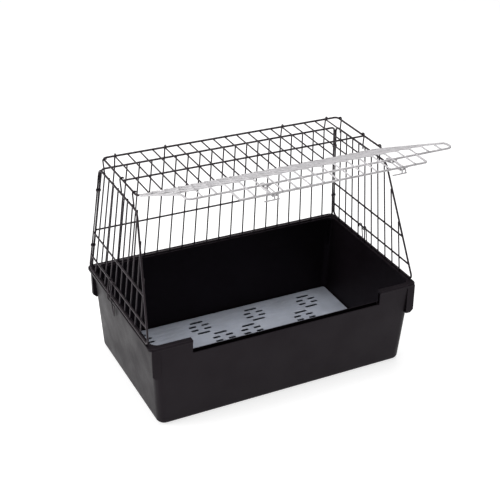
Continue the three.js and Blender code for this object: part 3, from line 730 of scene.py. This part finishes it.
def tub_rings():
    """The rings of the tub's skin, from under the floor, over the rim and down to the floor."""
    under = RIM_TOP - RIM_THICKNESS
    rings = [outer_ring(rise, inset) for inset, rise in quarter(BASE_ROUND, 6)]
    rings.append(outer_ring(under))
    rings += [rim_ring(under + rise, inset) for inset, rise in quarter(RIM_EDGE / 2)]
    rings += [rim_ring(RIM_TOP - rise, inset) for inset, rise in quarter(RIM_EDGE)[::-1]]
    rings += [mouth_ring(RIM_TOP - rise, inset) for inset, rise in quarter(RIM_EDGE)]
    rings.append(mouth_ring(under, 0))
    rings.append(outer_ring(under, WALL))
    inner = BASE_ROUND - WALL
    rings += [
        outer_ring(WALL + rise, WALL + inset) for inset, rise in quarter(inner, 5)[::-1]
    ]
    return rings


def loft(bm, rings):
    """Skins a run of rings and closes both ends."""
    made = [[bm.verts.new(point) for point in ring] for ring in rings]
    count = len(made[0])
    for low, high in zip(made, made[1:]):
        for i in range(count):
            j = (i + 1) % count
            bm.faces.new((low[i], low[j], high[j], high[i]))
    bm.faces.new(made[0][::-1])
    bm.faces.new(made[-1])


def slab(bm, low, high):
    """Adds a block between two corners given in millimetres."""
    a, b = at(*low), at(*high)
    middle = (a + b) / 2
    size = Matrix.Diagonal((*(b - a), 1))
    bmesh.ops.create_cube(bm, size=1, matrix=Matrix.Translation(middle) @ size)


def ear(bm, side, back):
    """The stiffening rib under one corner of the rim."""
    outer = RIM_HALF - EAR_REACH
    inner = outer - EAR_LENGTH
    top = RIM_TOP - RIM_THICKNESS / 2
    foot = top - EAR_HEIGHT
    profile = [
        (inner, foot), (outer - EAR_CHAMFER, foot), (outer, foot + EAR_CHAMFER),
        (outer, top), (inner, top),
    ]
    front = -RIM_DEPTH + FRONT_OVERHANG
    rear = RIM_DEPTH - REAR_OVERHANG
    near = rear - EAR_THICKNESS if back else front
    faces = [
        [bm.verts.new(at(side * x, y, z)) for x, z in profile]
        for y in (near, near + EAR_THICKNESS)
    ]
    bm.faces.new(faces[0])
    bm.faces.new(faces[1][::-1])
    for i in range(len(profile)):
        j = (i + 1) % len(profile)
        bm.faces.new((faces[0][j], faces[0][i], faces[1][i], faces[1][j]))
    bmesh.ops.recalc_face_normals(bm, faces=bm.faces)


def hidden(name, fill):
    """A working object from a function that fills a bmesh."""
    bm = bmesh.new()
    fill(bm)
    return solid_object(name, bm)


def combine(body, tool, operation):
    """Joins tool to body or cuts it away, and removes tool."""
    change = body.modifiers.new("shape", "BOOLEAN")
    change.operation = operation
    change.solver = "EXACT"
    change.object = tool
    bake(body)
    bpy.data.objects.remove(tool)


def bake(body):
    """Applies a working object's modifiers."""
    bpy.context.view_layer.update()
    shape = body.evaluated_get(bpy.context.evaluated_depsgraph_get())
    mesh = bpy.data.meshes.new_from_object(shape)
    body.modifiers.clear()
    body.data = mesh


def recess(bm):
    """The block that is cut out of the front rim."""
    slab(
        bm,
        (-RECESS_HALF, -RIM_DEPTH - CUT_PAST, RIM_TOP - RECESS_DEPTH),
        (RECESS_HALF, -RIM_DEPTH + RIM_FRONT + CUT_PAST, RIM_TOP + CUT_PAST),
    )


def trough_parts():
    """Corners of the blocks of the latch groove: floor, inner side and two ends."""
    top = RIM_TOP - RECESS_DEPTH
    foot = top - TROUGH_DEPTH - TROUGH_WALL
    back = -RIM_DEPTH + TROUGH_BACK
    front = -RIM_DEPTH + FRONT_OVERHANG + FRONT_DRAFT * (1 - top / RIM_TOP) + WALL / 2
    end = RECESS_HALF + TROUGH_WALL
    mid = foot + TROUGH_WALL / 2
    return [
        ((-end, front, foot), (end, back + TROUGH_WALL, foot + TROUGH_WALL)),
        ((-end, back, mid), (end, back + TROUGH_WALL, top)),
        ((RECESS_HALF, front, mid), (end, back + JOIN, top)),
        ((-end, front, mid), (-RECESS_HALF, back + JOIN, top)),
    ]


def skirt_parts():
    """Corners of the skirts inside the front rim, to each side of the recess."""
    y = -RIM_DEPTH + RIM_FRONT
    foot = RIM_TOP - RECESS_DEPTH - TROUGH_DEPTH - TROUGH_WALL
    start = RECESS_HALF + TROUGH_WALL / 2
    end = RIM_HALF - RIM_SIDE - BODY_CORNER
    return [
        ((start, y - SKIRT, foot), (end, y - SKIRT_INSET, RIM_TOP - SKIRT_BELOW_TOP)),
        ((-end, y - SKIRT, foot), (-start, y - SKIRT_INSET, RIM_TOP - SKIRT_BELOW_TOP)),
    ]


def tub_shell():
    """The whole moulding as one working object."""
    body = hidden("tub_body", lambda bm: loft(bm, tub_rings()))
    for side in (-1, 1):
        for back in (False, True):
            combine(body, hidden("rib", lambda bm: ear(bm, side, back)), "UNION")
    for low, high in skirt_parts():
        combine(body, hidden("skirt", lambda bm: slab(bm, low, high)), "UNION")
    combine(body, hidden("recess", recess), "DIFFERENCE")
    for low, high in trough_parts():
        combine(body, hidden("groove", lambda bm: slab(bm, low, high)), "UNION")
    edge = body.modifiers.new("edges", "BEVEL")
    edge.width = bpy.context.scene.crate_moulding.edge
    edge.segments = 2
    edge.limit_method = "ANGLE"
    edge.angle_limit = math.radians(40)
    bake(body)
    return body


class CRATE_OT_tub(bpy.types.Operator):
    """Build the moulded tub with its rim, recess, latch groove and corner ribs"""

    bl_idname = "crate.tub"
    bl_label = "Tub"

    def execute(self, context):
        body = tub_shell()
        bm = bmesh.new()
        bm.from_mesh(body.data)
        bpy.data.objects.remove(body)
        finish_piece("tub_moulding", bm, tub_plastic(), "crate", ["tub"], 32)
        return {"FINISHED"}


# ---- floor grid -----------------------------------------------------------------------------
def slot_places():
    """Middle and length of every slot in the grid."""
    places = []
    for row in range(-2, 3):
        for x in INNER_CLUSTERS if row % 2 else OUTER_CLUSTERS:
            for step in (1.5, 0.5, -0.5, -1.5):
                y = row * CLUSTER_PITCH + step * GRID_ROW_PITCH
                if abs(step) > 1:
                    places.append((x, y, SLOT_LONG))
                else:
                    apart = (SLOT_SHORT + SLOT_GAP) / 2
                    places += [(x - apart, y, SLOT_SHORT), (x + apart, y, SLOT_SHORT)]
    return places


def add_loop(curve, points):
    """A closed straight-sided loop in a flat curve."""
    spline = curve.splines.new("POLY")
    spline.points.add(len(points) - 1)
    for point, place in zip(spline.points, points):
        point.co = (place.x, place.y, 0, 1)
    spline.use_cyclic_u = True


def grid_plate():
    """The slotted plate, its edges rounded, as a working object."""
    low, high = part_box("floor_grid")
    half = high.x / MM
    depth = (high.y - low.y) / 2 / MM
    curve = bpy.data.curves.new("grid_outline", "CURVE")
    curve.dimensions = "2D"
    curve.fill_mode = "BOTH"
    front, rear = -depth + GRID_EDGE, depth - GRID_EDGE
    add_loop(curve, outline(half - GRID_EDGE, front, rear, GRID_CORNER, 0))
    width = bpy.context.scene.crate_moulding.slot_width / MM + 2 * GRID_EDGE
    for x, y, length in slot_places():
        long = length + 2 * GRID_EDGE
        ring = outline(long / 2, y - width / 2, y + width / 2, width * SLOT_CORNER, 0)
        add_loop(curve, [point + Vector((x * MM, 0, 0)) for point in ring])
    curve.extrude = GRID_FLAT * MM
    curve.bevel_depth = GRID_EDGE * MM
    curve.bevel_resolution = 2
    made = bpy.data.objects.new("grid_outline", curve)
    bpy.context.scene.collection.objects.link(made)
    bpy.context.view_layer.update()
    shape = made.evaluated_get(bpy.context.evaluated_depsgraph_get())
    bm = bmesh.new()
    bm.from_mesh(shape.to_mesh())
    bpy.data.objects.remove(made)
    thick = (GRID_FLAT + GRID_EDGE) * MM
    bmesh.ops.translate(bm, verts=bm.verts, vec=(0, 0, high.z - thick))
    return bm, half, depth, low.z / MM, high.z / MM


class CRATE_OT_floor_grid(bpy.types.Operator):
    """Build the slotted floor that lifts out of the tub"""

    bl_idname = "crate.floor_grid"
    bl_label = "Floor grid"

    def execute(self, context):
        bm, half, depth, foot, top = grid_plate()
        end = half - RUNNER_INSET
        for place in (-1, 0, 1):
            y = place * (depth - RUNNER_INSET)
            slab(bm, (-end, y - RUNNER_HALF, foot), (end, y + RUNNER_HALF, top - RUNNER_DROP))
        bmesh.ops.remove_doubles(bm, verts=bm.verts, dist=1e-6)
        finish_piece(
            "floor_grid_moulding", bm, grid_plastic(), "floor_grid",
            ["floor_grid"], 32,
        )
        return {"FINISHED"}


# ---- cage -----------------------------------------------------------------------------------
def hook_bend(over, out):
    """Points of a hook that turns over a roof wire, starting outside it."""
    return arc_points(over, out, Vector((0, 0, 1)), HOOK_RADIUS, 0, HOOK_END, HOOK_STEPS)


class CRATE_OT_roof(bpy.types.Operator):
    """Build the roof grille"""

    bl_idname = "crate.roof"
    bl_label = "Roof grille"

    def execute(self, context):
        bm = bmesh.new()
        z = ROOF_HEIGHT
        corners = [
            at(-ROOF_HALF, ROOF_REAR, z), at(ROOF_HALF, ROOF_REAR, z),
            at(ROOF_HALF, ROOF_FRONT, z), at(-ROOF_HALF, ROOF_FRONT, z),
        ]
        sweep(bm, round_corners(corners, ROOF_CORNER, True), FRAME_RADIUS, True)
        butt_weld(bm, corners[0], corners[1], FRAME_RADIUS)
        sweep(bm, [at(-ROOF_HALF, ROOF_MIDDLE, z), at(ROOF_HALF, ROOF_MIDDLE, z)], RAIL_RADIUS)
        pitch = 2 * ROOF_HALF / CELLS
        low = z - MESH_OFFSET
        for k in range(1 - CELLS // 2, CELLS // 2):
            x = k * pitch
            ends = (ROOF_FRONT - MESH_OVERRUN, ROOF_REAR + MESH_OVERRUN)
            sweep(bm, [at(x, y, low) for y in ends], MESH_RADIUS)
            for y in (ROOF_FRONT, ROOF_MIDDLE, ROOF_REAR):
                weld(bm, at(x, y, z - FRAME_RADIUS + WELD_SINK))
        for side in (-1, 1):
            weld(bm, at(side * (ROOF_HALF - CROSS_WELD_INSET), ROOF_MIDDLE, z))
        finish_piece(
            "roof_wirework", bm, cage_enamel(), "crate", ["roof_grille"]
        )
        return {"FINISHED"}


class CRATE_OT_back(bpy.types.Operator):
    """Build the back grille with the hooks that hold the roof"""

    bl_idname = "crate.back"
    bl_label = "Back grille"

    def execute(self, context):
        bm = bmesh.new()
        corners = [
            at(side * back_half(z), back_y(z), z)
            for side, z in ((-1, BACK_TOP), (1, BACK_TOP), (1, SEAT), (-1, SEAT))
        ]
        sweep(bm, round_corners(corners, PANEL_CORNER, True), FRAME_RADIUS, True)
        butt_weld(bm, corners[0], corners[1], FRAME_RADIUS)
        ends = [at(s * back_half(BACK_RAIL), back_y(BACK_RAIL), BACK_RAIL) for s in (-1, 1)]
        sweep(bm, ends, RAIL_RADIUS)
        for k in range(1 - CELLS // 2, CELLS // 2):
            self.upright(bm, k)
        finish_piece(
            "back_wirework", bm, cage_enamel(), "crate", ["back_grille"]
        )
        return {"FINISHED"}

    def upright(self, bm, k):
        def place(z, inside=MESH_OFFSET):
            return at(k * back_half(z) / (CELLS // 2), back_y(z) - inside, z)

        path = [place(SEAT - MESH_OVERRUN), place(BACK_TOP + MESH_OVERRUN)]
        if k in BACK_HOOK_WIRES:
            over = at(path[1].x / MM, ROOF_REAR, ROOF_HEIGHT)
            bend = hook_bend(over, Vector((0, 1, 0)))
            path = [path[0], path[1].lerp(path[0], 0.005), path[1], *bend]
        sweep(bm, path, MESH_RADIUS)
        for z in (SEAT, BACK_RAIL, BACK_TOP):
            weld(bm, place(z, FRAME_RADIUS - WELD_SINK))


class CRATE_OT_sides(bpy.types.Operator):
    """Build the two end grilles"""

    bl_idname = "crate.sides"
    bl_label = "End grilles"

    def execute(self, context):
        for name, side in SIDES:
            bm = bmesh.new()
            corners = [
                side_point(side, back_y(SIDE_TOP), SIDE_TOP),
                side_point(side, side_front_y(SIDE_TOP), SIDE_TOP),
                side_point(side, side_front_y(SEAT), SEAT),
                side_point(side, back_y(SEAT), SEAT),
            ]
            sweep(bm, round_corners(corners, SIDE_CORNER, True), FRAME_RADIUS, True)
            butt_weld(bm, corners[0], corners[1], FRAME_RADIUS)
            for z in SIDE_RAILS:
                ends = [side_point(side, y, z) for y in (back_y(z), side_front_y(z))]
                sweep(bm, ends, RAIL_RADIUS)
                for end in ends:
                    weld(bm, end)
            self.uprights(bm, side)
            for y in SIDE_HOOKS:
                self.hook(bm, side, y)
            finish_piece(
                f"end_wirework_{name}", bm, cage_enamel(), "crate",
                [f"side_grille_{name}"],
            )
        return {"FINISHED"}

    def uprights(self, bm, side):
        for k in range(1, SIDE_WIRES + 1):
            top_gap = upright_y(k, SIDE_TOP) - side_front_y(SIDE_TOP)
            foot_gap = upright_y(k, SEAT) - side_front_y(SEAT)
            share = 0 if top_gap > SIDE_CORNER / 4 else top_gap / (top_gap - foot_gap)
            top = lerp(SIDE_TOP, SEAT, share)
            ends = [
                side_point(side, upright_y(k, top), top + MESH_OVERRUN, MESH_OFFSET),
                side_point(side, upright_y(k, SEAT), SEAT - MESH_OVERRUN, MESH_OFFSET),
            ]
            sweep(bm, ends, MESH_RADIUS)
            for z in (top, *SIDE_RAILS, SEAT):
                if z <= top:
                    weld(bm, side_point(side, upright_y(k, z), z, FRAME_RADIUS - WELD_SINK))

    def hook(self, bm, side, y):
        over = at(side * ROOF_HALF, y, ROOF_HEIGHT)
        start = side_point(side, y, SIDE_TOP - HOOK_BELOW, MESH_OFFSET)
        rise = side_point(side, y, SIDE_TOP + HOOK_ABOVE, MESH_OFFSET)
        sweep(bm, [start, rise, *hook_bend(over, Vector((side, 0, 0)))], MESH_RADIUS)
        weld(bm, side_point(side, y, SIDE_TOP, FRAME_RADIUS - WELD_SINK))


# ---- door -----------------------------------------------------------------------------------
class CRATE_OT_door(bpy.types.Operator):
    """Build the silver door grille with its bent lip and tongue"""

    bl_idname = "crate.door"
    bl_label = "Door"

    def execute(self, context):
        bm = bmesh.new()
        half = DOOR_HALF
        corners = [
            door_point(-half, DOOR_TOP), door_point(half, DOOR_TOP),
            door_point(half, DOOR_BEND), door_point(half, LIP_EDGE),
            door_point(-half, LIP_EDGE), door_point(-half, DOOR_BEND),
        ]
        sweep(bm, round_corners(corners, DOOR_CORNER, True), FRAME_RADIUS, True)
        butt_weld(bm, corners[0], corners[1], FRAME_RADIUS)
        tongue = [
            door_point(-TONGUE_HALF, LIP_EDGE), door_point(-TONGUE_HALF, TONGUE_EDGE),
            door_point(TONGUE_HALF, TONGUE_EDGE), door_point(TONGUE_HALF, LIP_EDGE),
        ]
        sweep(bm, round_corners(tongue, DOOR_CORNER / 2), FRAME_RADIUS)
        for along in DOOR_RAILS:
            sweep(bm, [door_point(-half, along), door_point(half, along)], RAIL_RADIUS)
            for side in (-1, 1):
                weld(bm, door_point(side * half, along))
        for side in (-1, 1):
            weld(bm, door_point(side * TONGUE_HALF, LIP_EDGE))
        for k in range(1 - CELLS // 2, CELLS // 2):
            self.bar(bm, k * DOOR_PITCH)
        finish_piece("door_wirework", bm, door_enamel(), "door", ["door_grille"])
        return {"FINISHED"}

    def bar(self, bm, x):
        end = TONGUE_EDGE if abs(x) < TONGUE_HALF - 1 else LIP_EDGE
        places = (DOOR_TOP - MESH_OVERRUN, DOOR_BEND, end + MESH_OVERRUN)
        path = [door_point(x, along, MESH_OFFSET) for along in places]
        sweep(bm, round_corners(path, BAR_BEND), MESH_RADIUS)
        crossings = [DOOR_TOP, *DOOR_RAILS, LIP_EDGE] + ([end] if end > LIP_EDGE else [])
        for along in crossings:
            weld(bm, door_point(x, along, FRAME_RADIUS - WELD_SINK))


class CRATE_OT_latches(bpy.types.Operator):
    """Build the two sliding latches of bent rod"""

    bl_idname = "crate.latches"
    bl_label = "Latches"

    def execute(self, context):
        for name, centre in LATCH_CENTRES.items():
            bm = bmesh.new()
            half = LATCH_RODS / 2
            top = LIP_EDGE - LATCH_STAND
            bow = [
                door_point(centre - half, LATCH_FOOT, -LATCH_REACH),
                door_point(centre - half, LATCH_FOOT, -ROD_BELOW),
                door_point(centre - half, top, -ROD_BELOW),
                door_point(centre + half, top, -ROD_BELOW),
                door_point(centre + half, LATCH_FOOT, -ROD_BELOW),
                door_point(centre + half, LATCH_FOOT, -LATCH_REACH),
            ]
            sweep(bm, round_corners(bow, LATCH_CORNER), LATCH_RADIUS)
            bar_end = centre + half + LATCH_BAR_END
            bar = [
                door_point(x, LATCH_FOOT, -LATCH_REACH) for x in (bar_end - LATCH_BAR, bar_end)
            ]
            sweep(bm, bar, LATCH_RADIUS)
            for end in (-1, 1):
                weld(bm, door_point(centre + end * half, LATCH_FOOT, -LATCH_REACH))
            node = f"latch_{name}"
            finish_piece(f"{node}_rods", bm, door_enamel(), node, [node])
        return {"FINISHED"}


class CRATE_OT_clips(bpy.types.Operator):
    """Build the spring clips that hold the end grilles down to the rim"""

    bl_idname = "crate.clips"
    bl_label = "Side clips"

    def execute(self, context):
        height = SIDE_RAILS[1]
        middle = upright_y(CLIP_CELL, height)
        eye = RAIL_RADIUS + CLIP_RADIUS + 3 * GAP
        for name, side in SIDES:
            wall = RIM_HALF - SIDE_OVERHANG - END_DRAFT * (1 - CLIP_SHOULDER / RIM_TOP)
            wall += CLIP_RADIUS + GAP
            clear = RIM_HALF + CLIP_RADIUS + 2 * GAP
            legs = []
            for end in (1, -1):
                y = middle + end * CLIP_SPREAD / 2
                over = side_point(side, y, height)
                turn = arc_points(
                    over, Vector((side, 0, 0)), Vector((0, 0, 1)),
                    eye, CLIP_EYE_TURN, 0, CLIP_EYE_STEPS,
                )
                legs.append(turn + [
                    at(side * clear, y, RIM_TOP + CLIP_ABOVE_RIM),
                    at(side * clear, y, RIM_TOP - RIM_THICKNESS - CLIP_BELOW_RIM),
                    at(side * (wall + CLIP_SHOULDER_OUT), y, CLIP_SHOULDER),
                ])
            nose = at(side * (wall + CLIP_NOSE_OUT), middle, CLIP_NOSE)
            (near_eye, near), (far_eye, far) = (
                (leg[:CLIP_EYE_STEPS], leg[CLIP_EYE_STEPS:]) for leg in legs
            )
            bend = round_corners([*near, nose, *far[::-1]], CLIP_CORNER)
            bm = bmesh.new()
            sweep(bm, near_eye + bend + far_eye[::-1], CLIP_RADIUS)
            node = f"side_clip_{name}"
            finish_piece(f"{node}_bail", bm, cage_enamel(), node, [node])
        return {"FINISHED"}


class CRATE_OT_fittings(bpy.types.Operator):
    """Finish the hinge clips, latch guides and corner ties"""

    bl_idname = "crate.fittings"
    bl_label = "Small fittings"

    def execute(self, context):
        for name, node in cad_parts.items():
            if name.startswith(("door_hinge_clip", "latch_guide", "corner_tie")):
                node.data.materials.clear()
                tie = name.startswith("corner_tie")
                node.data.materials.append(cage_enamel() if tie else zinc())
        return {"FINISHED"}


# ---- stage ----------------------------------------------------------------------------------
def look_frame(azimuth, elevation, roll):
    """Rotation of a camera that looks along azimuth from +Y and down by elevation."""
    forward = Vector((
        math.sin(azimuth) * math.cos(elevation),
        math.cos(azimuth) * math.cos(elevation),
        -math.sin(elevation),
    ))
    right = Vector((math.cos(azimuth), -math.sin(azimuth), 0))
    up = right.cross(forward)
    turned_right = right * math.cos(roll) + up * math.sin(roll)
    turned_up = up * math.cos(roll) - right * math.sin(roll)
    return Matrix((turned_right, turned_up, -forward)).transposed().to_4x4()


def soft_light(name, place, target, size, power):
    lamp = bpy.data.lights.new(name, "AREA")
    lamp.shape = "DISK"
    lamp.size = size
    lamp.energy = power
    made = bpy.data.objects.new(name, lamp)
    made.location = place
    made.rotation_euler = (Vector(target) - Vector(place)).to_track_quat("-Z", "Y").to_euler()
    bpy.context.scene.collection.objects.link(made)


def surround(fill):
    """Even light all round the object, in front of a plain white backdrop."""
    world = bpy.data.worlds.new("studio")
    world.use_nodes = True
    tree = world.node_tree
    light = tree.nodes["Background"]
    light.inputs["Color"].default_value = (1, 1, 1, 1)
    light.inputs["Strength"].default_value = fill
    backdrop = add(tree, "ShaderNodeBackground", in_Strength=1.0)
    backdrop.inputs["Color"].default_value = (1, 1, 1, 1)
    ray = add(tree, "ShaderNodeLightPath")
    either = add(tree, "ShaderNodeMixShader")
    tree.links.new(ray.outputs["Is Camera Ray"], either.inputs[0])
    tree.links.new(light.outputs[0], either.inputs[1])
    tree.links.new(backdrop.outputs[0], either.inputs[2])
    tree.links.new(either.outputs[0], tree.nodes["World Output"].inputs["Surface"])
    return world


def floor_finish(base, glow):
    """The pale floor sheet, which gives off some light of its own."""
    made = bpy.data.materials.new("studio_floor")
    made.use_nodes = True
    tree = made.node_tree
    shader = tree.nodes["Principled BSDF"]
    drift = spread(tree, noise(tree, 0.8, 3), 0.3, 0.7)
    colours = tinted(tree, scaled(base, 0.985), base, drift)
    tree.links.new(colours, shader.inputs["Base Color"])
    shader.inputs["Roughness"].default_value = 0.85
    shader.inputs["Emission Color"].default_value = (1, 1, 1, 1)
    shader.inputs["Emission Strength"].default_value = glow
    return made


class CRATE_OT_stage(bpy.types.Operator):
    """Lay the pale floor, set the soft lights and the camera"""

    bl_idname = "crate.stage"
    bl_label = "Stage"

    def execute(self, context):
        studio = context.scene.crate_studio
        bm = bmesh.new()
        bmesh.ops.create_grid(bm, x_segments=8, y_segments=8, size=FLOOR_HALF)
        mesh = bpy.data.meshes.new("studio_floor")
        bm.to_mesh(mesh)
        bm.free()
        mesh.materials.append(floor_finish(tuple(studio.floor), studio.glow))
        floor = bpy.data.objects.new("studio_floor", mesh)
        floor.location.z = TUB_LOW.z - FLOOR_DROP
        context.scene.collection.objects.link(floor)
        context.scene.world = surround(studio.fill)
        soft_light("key", *KEY_LIGHT, studio.key)
        soft_light("top", *TOP_LIGHT, studio.key * TOP_SHARE)
        lens = bpy.data.cameras.new("camera")
        lens.sensor_width = SENSOR_WIDTH
        lens.lens = LENS
        lens.shift_x = LENS_SHIFT
        lens.clip_end = 60
        camera = bpy.data.objects.new("camera", lens)
        turn = look_frame(*(math.radians(angle) for angle in CAMERA_TURN))
        camera.matrix_world = Matrix.Translation(at(*CAMERA_PLACE)) @ turn
        context.scene.collection.objects.link(camera)
        context.scene.camera = camera
        context.scene.view_settings.view_transform = "Standard"
        return {"FINISHED"}


# ---- add-on ---------------------------------------------------------------------------------
PIECES = (
    CRATE_OT_tub, CRATE_OT_floor_grid, CRATE_OT_roof, CRATE_OT_back, CRATE_OT_sides,
    CRATE_OT_door, CRATE_OT_latches, CRATE_OT_clips, CRATE_OT_fittings, CRATE_OT_stage,
)


class CRATE_PT_panel(bpy.types.Panel):
    """The crate's settings and the pieces that they build"""

    bl_label = "Dog travel crate"
    bl_space_type = "VIEW_3D"
    bl_region_type = "UI"
    bl_category = "Crate"

    def draw(self, context):
        scene = context.scene
        for settings in SETTINGS:
            group_of = getattr(scene, settings)
            for key in group_of.__annotations__:
                self.layout.prop(group_of, key)
        for piece in PIECES:
            self.layout.operator(piece.bl_idname)


SETTINGS = {
    "crate_colours": CrateColours,
    "crate_wire": CrateWire,
    "crate_moulding": CrateMoulding,
    "crate_studio": CrateStudio,
}
CLASSES = (*SETTINGS.values(), *PIECES, CRATE_PT_panel)


def register():
    for kind in CLASSES:
        bpy.utils.register_class(kind)
    for name, kind in SETTINGS.items():
        setattr(bpy.types.Scene, name, bpy.props.PointerProperty(type=kind))


def unregister():
    for name in SETTINGS:
        delattr(bpy.types.Scene, name)
    for kind in reversed(CLASSES):
        bpy.utils.unregister_class(kind)


def main():
    register()
    for piece in PIECES:
        kit, name = piece.bl_idname.split(".")
        getattr(getattr(bpy.ops, kit), name)()
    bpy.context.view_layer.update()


if __name__ == "__main__":
    main()
